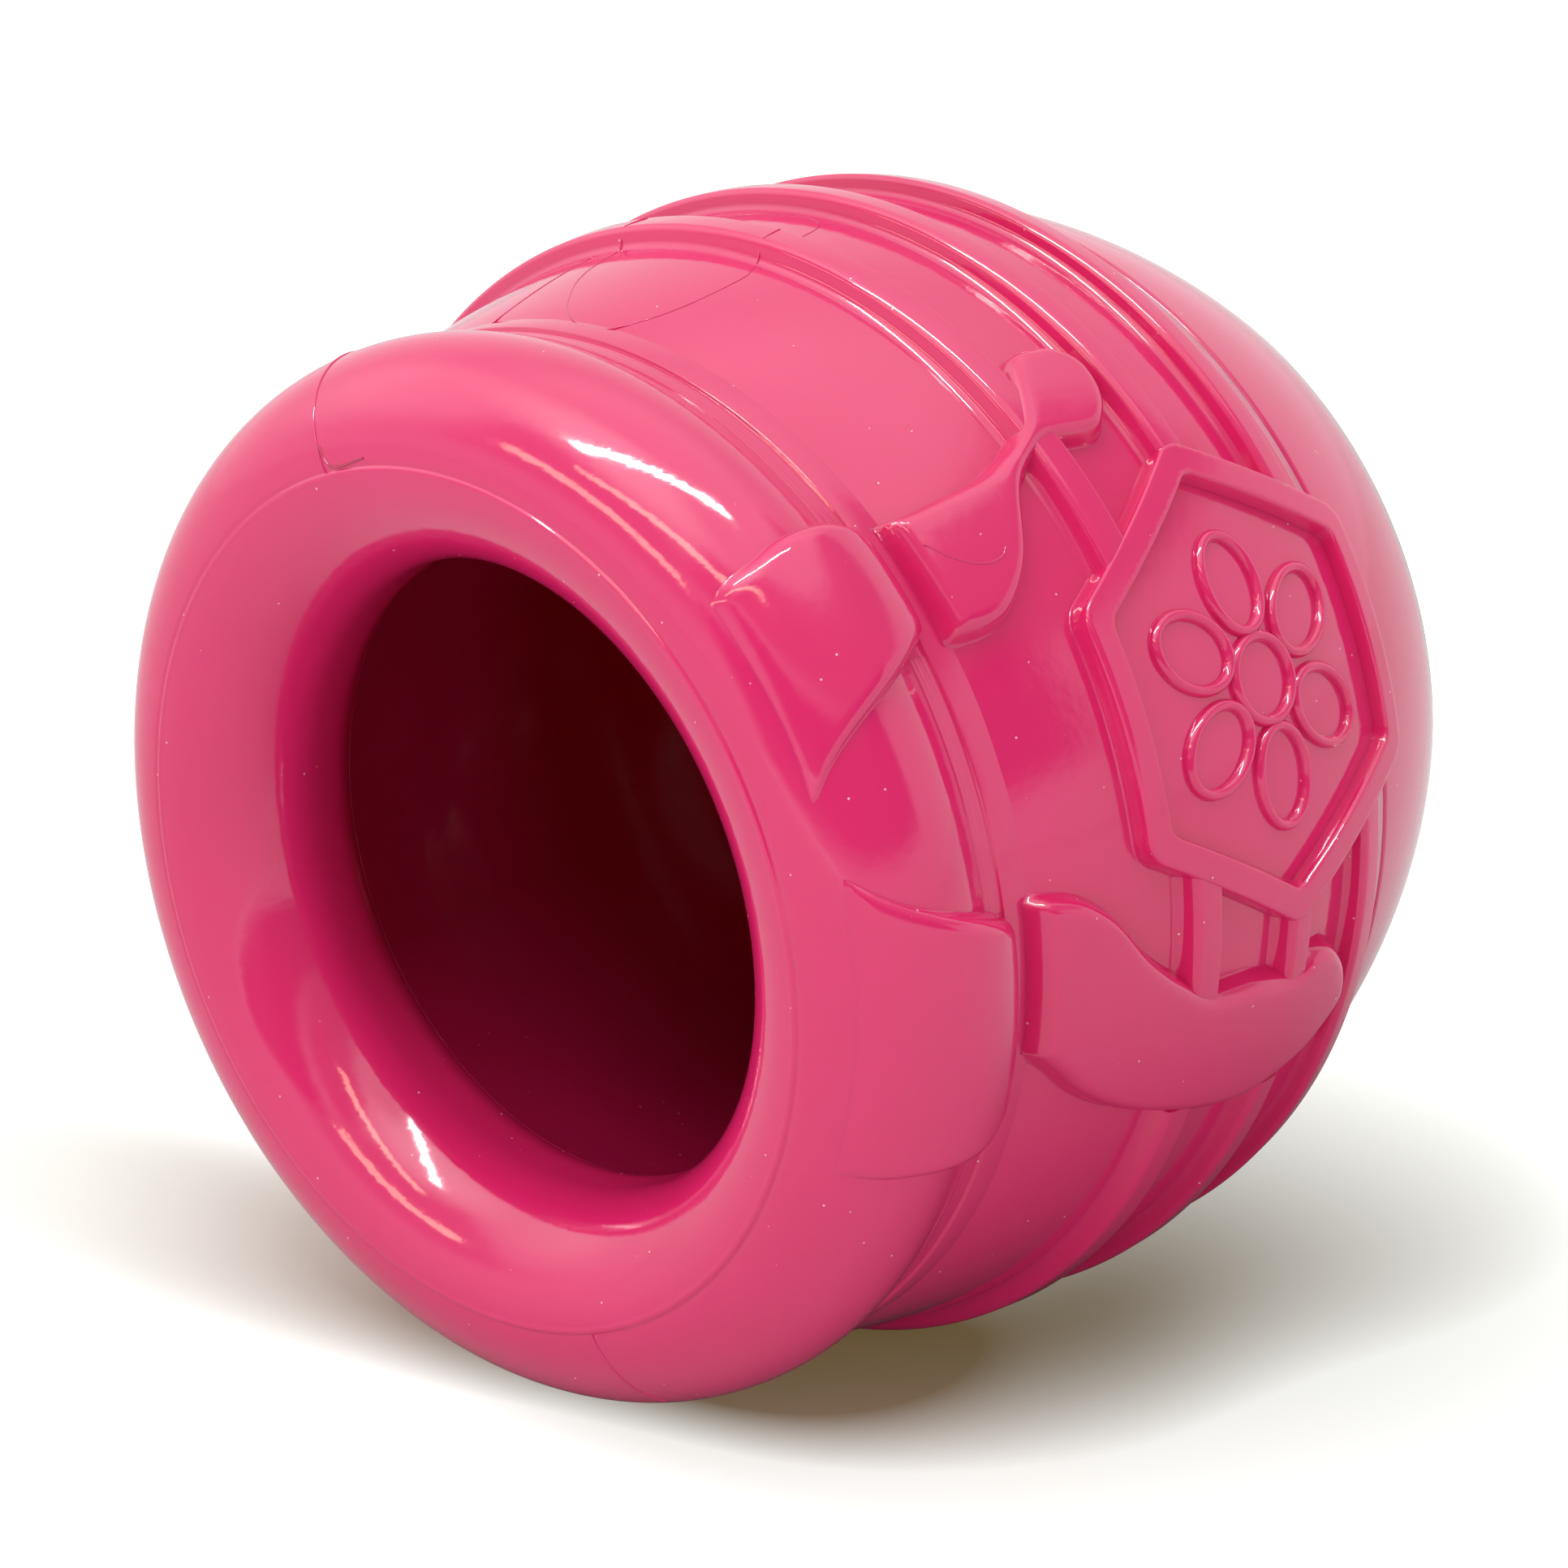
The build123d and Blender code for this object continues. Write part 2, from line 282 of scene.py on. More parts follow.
def close_tree(web, geometry, material):
    """Ends a tree: instances made real, smooth faces, the material."""
    real = web.node("GeometryNodeRealizeInstances", None, {"Geometry": geometry})
    even = web.node("GeometryNodeSetShadeSmooth", None, {"Geometry": real.outputs[0]})
    dressed = web.node("GeometryNodeSetMaterial", None,
                       {"Geometry": even.outputs[0], "Material": material})
    web.node("NodeGroupOutput", None, {"Geometry": dressed.outputs[0]})
    return web.tree


def turning_tree():
    """Turns the object's own outline round the pot's axis.

    The outline is drawn from the ring, with X outwards and Y to the mouth.
    """
    web, given = new_tree("turned_outline", [
        ("Ring radius", "Float"), ("Start angle", "Float"), ("Sweep angle", "Float"),
        ("Steps round", "Int"), ("Part of the ring", "Bool"), ("Rubber", "Material")])
    outline = web.node("GeometryNodeMeshToCurve", None, {"Mesh": given["Geometry"]})
    arc = web.node("GeometryNodeCurveArc", {"mode": "RADIUS"}, {
        "Resolution": given["Steps round"], "Radius": given["Ring radius"],
        "Start Angle": given["Start angle"], "Sweep Angle": given["Sweep angle"]})
    ring = web.circle(given["Steps round"], given["Ring radius"])
    path = web.node("GeometryNodeSwitch", {"input_type": "GEOMETRY"}, {
        "Switch": given["Part of the ring"], "False": ring, "True": arc.outputs["Curve"]})
    turned_round = web.node("GeometryNodeCurveToMesh", None, {
        "Curve": web.upright(path.outputs[0]), "Profile Curve": outline.outputs[0],
        "Fill Caps": given["Part of the ring"]})
    merged = web.node("GeometryNodeMergeByDistance", None,
                      {"Geometry": turned_round.outputs[0], "Distance": 0.002 * MM})
    return close_tree(web, merged.outputs[0], given["Rubber"])


def fine_line_tree():
    """Runs a thin round bead along the object's own lines."""
    web, given = new_tree("fine_line", [("Bead radius", "Float"), ("Rubber", "Material")])
    path = web.node("GeometryNodeMeshToCurve", None, {"Mesh": given["Geometry"]})
    line = web.node("GeometryNodeCurveToMesh", None, {
        "Curve": path.outputs[0], "Profile Curve": web.circle(8, given["Bead radius"]),
        "Fill Caps": True})
    return close_tree(web, line.outputs[0], given["Rubber"])


def flower_tree():
    """Flat flower: an eye ring and open petals, all of one raised line."""
    web, given = new_tree("flower", [
        ("Petals", "Int"), ("Petal ring radius", "Float"), ("Petal size", "Vector"),
        ("Eye radius", "Float"), ("Line size", "Vector"), ("Rubber", "Material")])
    line_steps, ring_steps, unit_radius = 20, 72, 0.5

    def oval_of(steps, size):
        return web.node("GeometryNodeTransform", None, {
            "Geometry": web.circle(steps, unit_radius), "Scale": size}).outputs[0]

    def raised(path):
        return web.node("GeometryNodeCurveToMesh", None, {
            "Curve": web.upright(path),
            "Profile Curve": oval_of(line_steps, given["Line size"])}).outputs[0]

    petal = raised(oval_of(ring_steps, given["Petal size"]))
    seats = web.node("GeometryNodeMeshCircle", None,
                     {"Vertices": given["Petals"], "Radius": given["Petal ring radius"]})
    outwards = web.node("FunctionNodeAlignRotationToVector", {"axis": "X"},
                        {"Vector": web.node("GeometryNodeInputPosition").outputs[0]})
    petals = web.node("GeometryNodeInstanceOnPoints", None, {
        "Points": seats.outputs["Mesh"], "Instance": petal, "Rotation": outwards.outputs[0]})
    joined = web.node("GeometryNodeJoinGeometry")
    for part in (petals.outputs[0], raised(web.circle(ring_steps, given["Eye radius"]))):
        web.tree.links.new(part, joined.inputs[0])
    return close_tree(web, joined.outputs[0], given["Rubber"])


TURNING, FINE_LINE, FLOWER = turning_tree(), fine_line_tree(), flower_tree()


def grown(tree, points=(), closed=False, **inputs):
    """Plain mesh that a tree makes from an outline in metres."""
    outline = bpy.data.meshes.new("outline")
    count = len(points)
    edges = [(k, (k + 1) % count) for k in range(count if closed else max(count - 1, 0))]
    outline.from_pydata(points, edges, [])
    carrier = added("carrier", outline)
    modifier = carrier.modifiers.new("grow", "NODES")
    modifier.node_group = tree
    for item in tree.interface.items_tree:
        key = item.name.lower().replace(" ", "_")
        if item.in_out == "INPUT" and key in inputs:
            modifier[item.identifier] = inputs[key]
    depsgraph = bpy.context.evaluated_depsgraph_get()
    mesh = bpy.data.meshes.new_from_object(carrier.evaluated_get(depsgraph))
    bpy.data.objects.remove(carrier)
    return mesh


def turned(outline, ring_radius, steps, start=0.0, end=0.0):
    """Mesh of an outline of (radius, place) points turned round the pot.

    It goes all round unless an end is given.
    """
    points = [((radius - ring_radius) * MM, -place * MM, 0.0) for radius, place in outline]
    mesh = grown(TURNING, points, True, ring_radius=ring_radius * MM, start_angle=radians(start),
                 sweep_angle=radians(end - start), steps_round=steps,
                 part_of_the_ring=end != start, rubber=RUBBER)
    mesh.transform(POT_SPACE)
    return mesh


def fine_line(points, bead_radius):
    """Mesh of a thin bead through points in metres."""
    return grown(FINE_LINE, points, False, bead_radius=bead_radius * MM, rubber=RUBBER)


def piece(name, shells, node, shade=None, cracks=()):
    """One object of closed shells that rides on the pot and stands for a CAD node.

    The painted shade at a place, a radius and a lowness, which is 1 straight below the axis and -1
    above it, darkens the rubber's colour where it lies in shade; the cracks among the shells get
    painted shade too.
    """
    work = bmesh.new()
    # Painted shade that each point carries into the rubber's colour
    dark = work.verts.layers.float.new("in_hollow")
    for shell in (*shells, *cracks):
        count = len(work.verts)
        work.from_mesh(shell)
        work.verts.ensure_lookup_table()
        for vertex in work.verts[count:]:
            if shell in cracks:
                vertex[dark] = CRACK_SHADE
            elif shade:
                off = vertex.co - MOUTH
                place = off.dot(ALONG)
                radius = (off - ALONG * place).length
                vertex[dark] = shade(place / MM, radius / MM, -off.dot(UP) / max(radius, MM))
    for shell in (*shells, *cracks):
        bpy.data.meshes.remove(shell)
    bmesh.ops.dissolve_degenerate(work, dist=SLIVER, edges=work.edges)
    bmesh.ops.recalc_face_normals(work, faces=work.faces)
    for vertex in work.verts:
        vertex.co.z = max(vertex.co.z, 0.0)
    for face in work.faces:
        face.smooth = True
    mesh = bpy.data.meshes.new(name)
    work.to_mesh(mesh)
    work.free()
    mesh.materials.clear()
    mesh.materials.append(RUBBER)
    made = added(name, mesh)
    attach(made, "root")
    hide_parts(node)


# Outlines
def arc_points(radius_at, start, end, step):
    """Points (radius, place) along a wall, about evenly spaced."""
    count = max(2, round(abs(end - start) / step))
    places = [start + (end - start) * k / count for k in range(count + 1)]
    return [(radius_at(place), place) for place in places]


def rounded(corners, step):
    """Open run of points with each (x, y, radius) corner rounded."""
    points = []
    for k, (x, y, radius) in enumerate(corners):
        here = Vector((x, y))
        if radius == 0:
            points.append((x, y))
            continue
        before = (Vector(corners[k - 1][:2]) - here).normalized()
        after = (Vector(corners[(k + 1) % len(corners)][:2]) - here).normalized()
        half = before.angle(after) / 2
        centre = here + (before + after).normalized() * (radius / sin(half))
        first = here + before * (radius / np.tan(half)) - centre
        last = here + after * (radius / np.tan(half)) - centre
        sweep = first.angle_signed(last)
        count = max(2, round(abs(sweep) * radius / step))
        for j in range(count + 1):
            turn = -sweep * j / count
            points.append(tuple(centre + Matrix.Rotation(turn, 2) @ first))
    return points


def smooth_curve(points, step, closed=False):
    """Evenly spaced points on a smooth curve through given points."""
    known = np.array(points, float)
    if closed:
        ring = np.vstack([known[-1], known, known[0], known[1]])
    else:
        ring = np.vstack([2 * known[0] - known[1], known, 2 * known[-1] - known[-2]])
    fine = []
    for a, b, c, d in zip(ring[:-3], ring[1:-2], ring[2:-1], ring[3:]):
        for t in np.linspace(0, 1, CURVE_SHARES, endpoint=False):
            bend = 2 * a - 5 * b + 4 * c - d + t * (3 * (b - c) + d - a)
            fine.append(b + 0.5 * t * (c - a + t * bend))
    fine = np.array(fine + [fine[0] if closed else known[-1]])
    reach = np.concatenate([[0], np.cumsum(np.linalg.norm(np.diff(fine, axis=0), axis=1))])
    count = max(3, round(reach[-1] / step))
    marks = np.linspace(0, reach[-1], count + 1)[: count if closed else count + 1]
    return np.column_stack([np.interp(marks, reach, fine[:, axis]) for axis in (0, 1)])


def shut(run):
    """Loop of a run of points that a straight line closes."""
    count = max(4, round(np.linalg.norm(run[-1] - run[0]) / CLOSING_STEP))
    return np.vstack([run, np.linspace(run[-1], run[0], count)[1:-1]])


# Raised patches
def inside(points, loops):
    """Which points lie inside the loops, by counting crossings."""
    hits = np.zeros(len(points), bool)
    for loop in loops:
        x1, y1 = loop.T
        x2, y2 = np.roll(loop, -1, axis=0).T
        px, py = points[:, :1], points[:, 1:]
        spans = (y1 > py) != (y2 > py)
        at = x1 + (py - y1) / np.where(y2 == y1, 1e-12, y2 - y1) * (x2 - x1)
        hits ^= ((spans & (px < at)).sum(axis=1) % 2).astype(bool)
    return hits


def depth_inside(points, loops):
    """Distance of each point from the loops, positive inside them."""
    best = np.full(len(points), np.inf)
    for loop in loops:
        run = np.roll(loop, -1, axis=0) - loop
        square = np.maximum((run**2).sum(axis=1), 1e-12)
        foot = np.clip(((points[:, None] - loop) * run).sum(axis=2) / square, 0, 1)
        near = loop + foot[..., None] * run
        best = np.minimum(best, np.linalg.norm(points[:, None] - near, axis=2).min(axis=1))
    return np.where(inside(points, loops), best, -best)


def moved_in(loop, loops, inset):
    """Points of a loop moved into the loops by an inset, less those that come too near a side."""
    nudge, slack = 0.01, 0.05
    run = np.roll(loop, -1, axis=0) - np.roll(loop, 1, axis=0)
    normal = np.column_stack([-run[:, 1], run[:, 0]]) / np.linalg.norm(run, axis=1)[:, None]
    normal[depth_inside(loop + normal * nudge, loops) < 0] *= -1
    moved = loop + normal * inset
    return moved[np.abs(depth_inside(moved, loops) - inset) < slack]


def raised_patch(loops, rows, place_on, fill_step=0.8):
    """Closed shell that stands on the pot inside flat loops (across, along).

    Each row gives how far in from the loops it lies and how high it stands.
    """
    points = [moved_in(loop, loops, inset) for inset, _ in rows for loop in loops]
    rims = points[:len(loops)]
    everywhere = np.vstack(loops)
    low, high = everywhere.min(axis=0), everywhere.max(axis=0)
    lines = [np.arange(low[axis], high[axis], fill_step) for axis in (0, 1)]
    grid = np.stack(np.meshgrid(*lines), -1).reshape(-1, 2)
    points.append(grid[depth_inside(grid, loops) > rows[-1][0] + fill_step / 2])
    edges, first = [], 0
    for rim in rims:
        edges += [(first + k, first + (k + 1) % len(rim)) for k in range(len(rim))]
        first += len(rim)
    flat = [Vector(point) for point in np.vstack(points)]
    spots, _, faces, _, _, _ = delaunay_2d_cdt(flat, edges, [], 0, 1e-4)
    spots = np.array([tuple(spot) for spot in spots])
    centres = np.array([spots[list(face)].mean(axis=0) for face in faces])
    faces = [face for face, keep in zip(faces, inside(centres, rims)) if keep]
    heights = np.interp(depth_inside(spots, loops), *zip(*rows))
    used = sorted({corner for face in faces for corner in face})
    order = {corner: k for k, corner in enumerate(used)}
    top = [place_on(*spots[k], heights[k]) for k in used]
    root = [place_on(*spots[k], -ROOT_DEPTH) for k in used]
    faces = [tuple(order[corner] for corner in face) for face in faces]
    seen = {(a, b) for face in faces for a, b in zip(face, face[1:] + face[:1])}
    sides = [(b, a, a + len(used), b + len(used)) for a, b in seen if (b, a) not in seen]
    under = [tuple(corner + len(used) for corner in reversed(face)) for face in faces]
    mesh = bpy.data.meshes.new("patch")
    mesh.from_pydata(top + root, [], faces + sides + under)
    return mesh


def barrel_spot(angle, place):
    """Puts (across, along, height) on the barrel about an angle and a place."""
    def put(across, forth, height):
        radius = barrel_radius(place + forth)
        return on_pot(place + forth, angle + degrees(asin(across / radius)), radius + height)
    return put


def roll_place(place):
    """Length along the lip's roll, and straight on behind it, from its crest to a place."""
    beyond = max(place - LIP_BACK, 0.0)
    return LIP_ROLL * asin((place - beyond - LIP_ROLL) / LIP_ROLL) + beyond


def lip_spot(angle):
    """Puts (across, along the roll from its crest, rise) on the lip about an angle.

    A rise of 0 is on the lip and 1 on the larger roll of the pads.
    """
    def put(across, forth, rise):
        beyond = max(forth - roll_place(LIP_BACK), 0.0)
        place = LIP_ROLL + LIP_ROLL * sin((forth - beyond) / LIP_ROLL) + beyond
        under = LIP_RING + sqrt(LIP_ROLL**2 - (place - beyond - LIP_ROLL) ** 2)
        over = LIP_RING + sqrt(PAD_ROLL**2 - (place - PAD_ROLL) ** 2)
        return on_pot(place, angle + degrees(across / under), under + (over - under) * rise)
    return put


def moulded_edge(height, foot, round_in):
    """Rows of a raised edge: a hollow foot, a steep side and a rounded top."""
    side = [(-foot, -0.07), (-0.6 * foot, 0.0), (-0.25 * foot, 0.07 * height),
            (0.0, 0.19 * height)]
    top = ((0.12, 0.42), (0.24, 0.62), (0.42, 0.80), (0.64, 0.92), (0.86, 0.98), (1.1, 1.0))
    return side + [(inset * round_in, rise * height) for inset, rise in top]


# Lip: the roll, whose front stands a little proud at the line of the mould round the crown
CROWN_MARKS = (-5.0, -0.25, 0.05, 0.25, 0.36, 0.44, 0.6, 0.8)
CROWN_HEIGHTS = (0, 0.13, 0.17, 0.13, 0.02, -0.05, -0.03, 0)


def on_roll(mark, height=0.0):
    """Radius and place of a point over the lip, at a length along its roll from the crown."""
    turn, roll = mark / LIP_ROLL - pi / 2, LIP_ROLL + height
    return LIP_RING + roll * cos(turn), LIP_ROLL + roll * sin(turn)


def lip_outline():
    """Outline from the throat over the crown to the neck, then back inside to the throat."""
    last = LIP_ROLL * (pi / 2 + LIP_LEAN)
    coarse = np.arange(-pi / 2 * LIP_ROLL, last, 0.25)
    crown = np.arange(-0.9, 1.5, 0.05)  # finer steps at the mould's line
    marks = sorted({*coarse[np.abs(coarse - 0.3) > 1.2], *crown, last})
    points = [on_roll(mark, np.interp(mark, CROWN_MARKS, CROWN_HEIGHTS)) for mark in marks]
    edge = points[-1][0] - (LIP_BACK - points[-1][1]) * tan(LIP_LEAN)
    points += [(edge + 0.03, LIP_BACK - 0.09), (edge, LIP_BACK - 0.03), (edge - 0.06, LIP_BACK),
               (LIP_CORE, LIP_BACK), (THROAT_RADIUS + THROAT_FLARE + 0.03, LIP_BACK)]
    for step in range(FLARE_STEPS + 1):
        points.append((THROAT_RADIUS + THROAT_FLARE * (1.0 - step / FLARE_STEPS) ** 2,
                       LIP_BACK - 0.02 - FLARE_LENGTH * step / FLARE_STEPS))
    return points


def on_lip(mark, angle):
    """Point on the lip at a length along its roll from the crown."""
    radius, place = on_roll(mark)
    return on_pot(place, angle, radius)


def lip_parting(angle, lean, end):
    """Bead of a parting line that leans as it runs back from the crown."""
    marks = np.arange(0.5, end, 0.25)
    return fine_line([on_lip(mark, angle - lean * mark) for mark in marks], LIP_PARTING_BEAD)


def lip_shade(place, radius, lowness):
    """Painted shade in the throat, deeper towards the hollow, less below, where light falls in."""
    if radius >= THROAT_EDGE:
        return 0.0
    return 0.75 * part_way(place, 6.0, 12.0) * (1.0 - 0.85 * part_way(lowness, 0.5, 0.9))


# A crack over the lip: a fine bead with painted shade all along it
crack_picks = [(2.4, -21.9), (1.4, -21.3), (0.75, -20.2), (0.6, -18.6), (0.75, -16.5), (1.0, -14.0)]
crack = [on_lip(mark, angle) for mark, angle in smooth_curve(crack_picks, 0.1)]
piece("lip", [turned(lip_outline(), LIP_RING, STEPS_ROUND), lip_parting(-21.5, 0.33, 14.0),
              lip_parting(159.4, 0.15, 9.0)], "lip", lip_shade, [fine_line(crack, CRACK_BEAD)])

# Barrel: the neck's floor with tool lines, the level shoulder, the belly and the hollow's front
barrel_outline = [(NECK_FLOOR - 0.5, LIP_BACK - TUCK), (NECK_FLOOR - 0.02, LIP_BACK + 0.3)]
for place in TOOL_LINES:
    barrel_outline += [(NECK_FLOOR, place - TOOL_LINE_REACH), (NECK_FLOOR - TOOL_LINE_DEPTH, place),
                       (NECK_FLOOR, place + TOOL_LINE_REACH)]
barrel_outline += rounded([
    (NECK_FLOOR, 14.2, 0), (NECK_FLOOR - 0.03, NECK_END - 0.1, 0.05), (SHOULDER, NECK_END, 0.12),
    (SHOULDER + 0.02, SHOULDER_END, 0.6), (barrel_radius(BELLY_START), BELLY_START, 0)],
    CORNER_STEP)
barrel_outline += arc_points(barrel_radius, 19.5, BASE_JOINT, ARC_STEP)
for radius, place in arc_points(hollow_radius, BASE_JOINT, LIP_BACK + 0.03, HOLLOW_STEP):
    flare = THROAT_FLARE * (1.0 - part_way(place, LIP_BACK, FLARE_FADE))
    barrel_outline.append((radius + flare, place))
barrel_outline += [(hollow_radius(LIP_BACK) + THROAT_FLARE, LIP_BACK),
                   (TUCK_RADIUS, LIP_BACK - TUCK)]


def skin_radius(place):
    """Radius of the barrel with the front hoop on it."""
    hoop = np.interp(place - FRONT_HOOP_PLACE, [-2.1, -1.0, 1.2, 1.5], [0, 1, 1, 0])
    return barrel_radius(place) + HOOP_HEIGHT * float(hoop)


def barrel_shade(place, radius, lowness):
    """Painted shade in the hollow, deeper towards its end, less below, where light falls in."""
    if radius > hollow_radius(min(max(place, LIP_BACK), BASE_JOINT)) + 1.0:
        return 0.0
    lit = part_way(lowness, 0.5, 0.95) * (1.0 - part_way(place, 25.0, 55.0))
    return 0.7 + 0.3 * part_way(place, 30.0, 42.0) - 0.7 * lit


insert_picks = [
    (16.4, -1.3), (17.3, 1.2), (19.3, 3.1), (21.7, 4.3), (24.6, 4.9), (27.9, 5.0), (29.2, 4.4),
    (31.2, 3.4), (33.4, 3.0), (36.4, 2.4), (39.3, 1.1), (40.3, -3.0), (39.4, -9.0), (36.5, -13.0),
    (32.0, -15.2), (27.5, -14.9), (23.4, -12.8), (19.4, -8.8), (17.9, -6.5), (16.6, -3.3)]
insert_line = [on_pot(place, angle, skin_radius(place))
               for place, angle in smooth_curve(insert_picks, 0.1, True)]
parting_line = [on_pot(place, -14.0 - 0.17 * place, barrel_radius(place))
                for place in np.arange(16.9, 31.4, 0.5)]
piece("barrel", [turned(barrel_outline, BARREL_RING, STEPS_ROUND),
                 fine_line(insert_line, BARREL_LINE_BEAD),
                 fine_line(parting_line, BARREL_LINE_BEAD)], "barrel", barrel_shade)


# Base: the rounded end and the floor of the hollow
def base_shade(place, radius, lowness):
    """Painted shade, dark all over the hollow's end."""
    return float(place < HOLLOW_END + 1.0 and radius < HOLLOW_RADIUS + 1.0)


base_outline = arc_points(barrel_radius, BASE_JOINT, BASE_ARC_END, ARC_STEP)
base_outline += rounded([
    (barrel_radius(BASE_ROUND_START), BASE_ROUND_START, 0),
    (BASE_END_RADIUS, POT_LENGTH, BASE_ROUND), (0.0, POT_LENGTH, 0)], 0.5 * ARC_STEP)
base_outline += rounded([
    (0.0, HOLLOW_END, 0), (hollow_radius(HOLLOW_END), HOLLOW_END, HOLLOW_ROUND),
    (hollow_radius(HOLLOW_ROUND_START), HOLLOW_ROUND_START, 0)], 0.5 * HOLLOW_STEP)
base_outline += arc_points(hollow_radius, HOLLOW_ARC_END, BASE_JOINT, HOLLOW_STEP)
piece("base", [turned(base_outline, BASE_RING, STEPS_ROUND)], "base", base_shade)

# Hoops: bands with rounded edges that end inside the hexagon and the honey.
# Each has its place, its front's foot, crest and crest rounding, and its arcs round the pot.
hoops = {
    "front_hoop": (FRONT_HOOP_PLACE, -1.8, -1.32, 0.65,
                   [(110.5, 399.3), (40.4, 54.4), (85.0, 99.0)]),
    "middle_hoop": (42.55, -1.5, -1.05, 0.7, [(112.0, 407.1), (92.3, 100.6)]),
    "rear_hoop": (52.1, -1.5, -1.05, 0.7, [(84.9, 414.5)]),
}
for name, (place, foot, crest, crest_round, arcs) in hoops.items():
    section = rounded([
        (-HOOP_ROOT, foot - 1.0, 0), (-HOOP_SINK, foot - 1.0, 0),
        (-HOOP_SINK, foot, HOOP_FOOT_ROUND), (HOOP_HEIGHT, crest, crest_round),
        (HOOP_HEIGHT - 0.03, 1.2, HOOP_BACK_ROUND), (-HOOP_SINK, 1.4, HOOP_BACK_ROUND),
        (-HOOP_SINK, 1.9, 0), (-HOOP_ROOT, 1.9, 0)], CORNER_STEP)
    band = [(barrel_radius(place + across) + height, place + across) for height, across in section]
    shells = [turned(band, barrel_radius(place), max(8, round(end - start)), start, end)
              for start, end in arcs]
    piece(name, shells, name)


# Hexagon frame and the panel inside it
def hexagon(radius, corner):
    """Loop of a hexagon with a corner on either side across the pot."""
    tips = [(radius * cos(pi / 3 * k), radius * sin(pi / 3 * k), corner) for k in range(6)]
    bent = rounded(tips, 0.25)
    sides = []
    for a, b in zip(bent, bent[1:] + bent[:1]):
        count = max(2, round(np.hypot(b[0] - a[0], b[1] - a[1]) / CLOSING_STEP))
        sides.append(np.linspace(a, b, count, endpoint=False))
    return np.vstack(sides)


on_panel = barrel_spot(HEXAGON_ANGLE, HEXAGON_PLACE)
frame_shell = raised_patch([hexagon(*FRAME_OUTSIDE), hexagon(*FRAME_INSIDE)],
                           moulded_edge(HEXAGON_HEIGHT, 0.2, 0.3), on_panel, 0.3)
panel_shell = raised_patch([hexagon(*PANEL)], [(0.0, PANEL_RISE), (0.5, PANEL_RISE)],
                           on_panel, 0.5)
piece("hexagon_frame", [frame_shell, panel_shell], "hexagon_frame")

# Flower of raised lines on the hexagon's panel
flower = grown(FLOWER, petals=6, petal_ring_radius=7.2 * MM, petal_size=(7.2 * MM, 5.4 * MM, MM),
               eye_radius=3.1 * MM, line_size=(0.95 * MM, 1.4 * MM, MM), rubber=RUBBER)
for vertex in flower.vertices:
    across, forth, height = (length / MM for length in vertex.co)
    vertex.co = on_panel(across, forth, height + PANEL_RISE - FLOWER_SINK)
piece("flower_emblem", [flower], "flower_emblem")

# Honey drips on the barrel, each with its bridge over the groove
upper_drip = [
    (-1.35, DRIP_START), (-1.1, 18.5), (-1.1, 21.0), (-1.2, 24.9), (-1.7, 27.2), (-3.4, 30.7),
    (-8.5, 34.5), (-8.9, 37.6), (-8.2, 39.5), (-6.6, 40.7), (-4.9, 40.8), (-3.1, 40.2),
    (-1.6, 39.0), (-0.7, 37.2), (-1.2, 33.7), (-1.3, 32.2), (-0.3, 29.8), (1.4, 27.8), (5.8, 24.9),
    (8.2, 22.1), (8.8, 19.9), (8.6, 17.8), (8.2, DRIP_START)]
lower_drip = [
    (-10.6, DRIP_START), (-11.0, 17.5), (-10.5, 20.2), (-9.4, 22.3), (-7.9, 24.0), (-5.6, 25.9),
    (-4.0, 27.5), (-2.1, 30.0), (-0.3, 33.2), (0.2, 38.2), (0.9, 42.4), (0.1, 44.8), (0.5, 47.4),
    (2.2, 49.4), (4.5, 50.5), (6.6, 50.2), (9.4, 46.4), (10.6, 42.7), (11.1, 39.0), (10.4, 34.2),
    (9.0, 29.4), (7.2, 24.8), (5.0, 21.2), (2.6, 18.6), (1.0, 16.9), (0.6, DRIP_START)]
bridge_section = [
    (37.6, 12.2), (39.4, 12.2), (39.75, 12.9), (39.85, 13.9), (39.85, 14.42), (39.72, 14.52),
    (39.87, 14.62), (39.87, 15.02), (39.74, 15.12), (39.89, 15.22), (39.9, 15.6), (39.95, 16.0),
    (40.0, 16.9), (37.6, 16.9)]
flow_picks = [(17.6, 45.4), (18.7, 47.3), (20.0, 48.9), (21.4, 49.7), (22.6, 49.6), (23.3, 48.9)]
flow_mark = [on_pot(place, angle, barrel_radius(place) + FLOW_MARK_HEIGHT)
             for place, angle in smooth_curve(flow_picks, 0.05)]
for name, picks, angle, marks in (("upper_honey_drip", upper_drip, 43.0, [flow_mark]),
                                  ("lower_honey_drip", lower_drip, 98.0, [])):
    loop = shut(smooth_curve(picks, LOOP_STEP))
    drip = raised_patch([loop], moulded_edge(DRIP_HEIGHT, HONEY_FOOT, DRIP_ROUND),
                        barrel_spot(angle, 0.0))
    start = angle + degrees((picks[0][0] - BRIDGE_OVERLAP) / BRIDGE_RADIUS)
    end = angle + degrees((picks[-1][0] + BRIDGE_OVERLAP) / BRIDGE_RADIUS)
    bridge = turned(bridge_section, BRIDGE_RING, 24, start, end)
    piece(name, [drip, bridge, *(fine_line(mark, FLOW_MARK_BEAD) for mark in marks)], name)

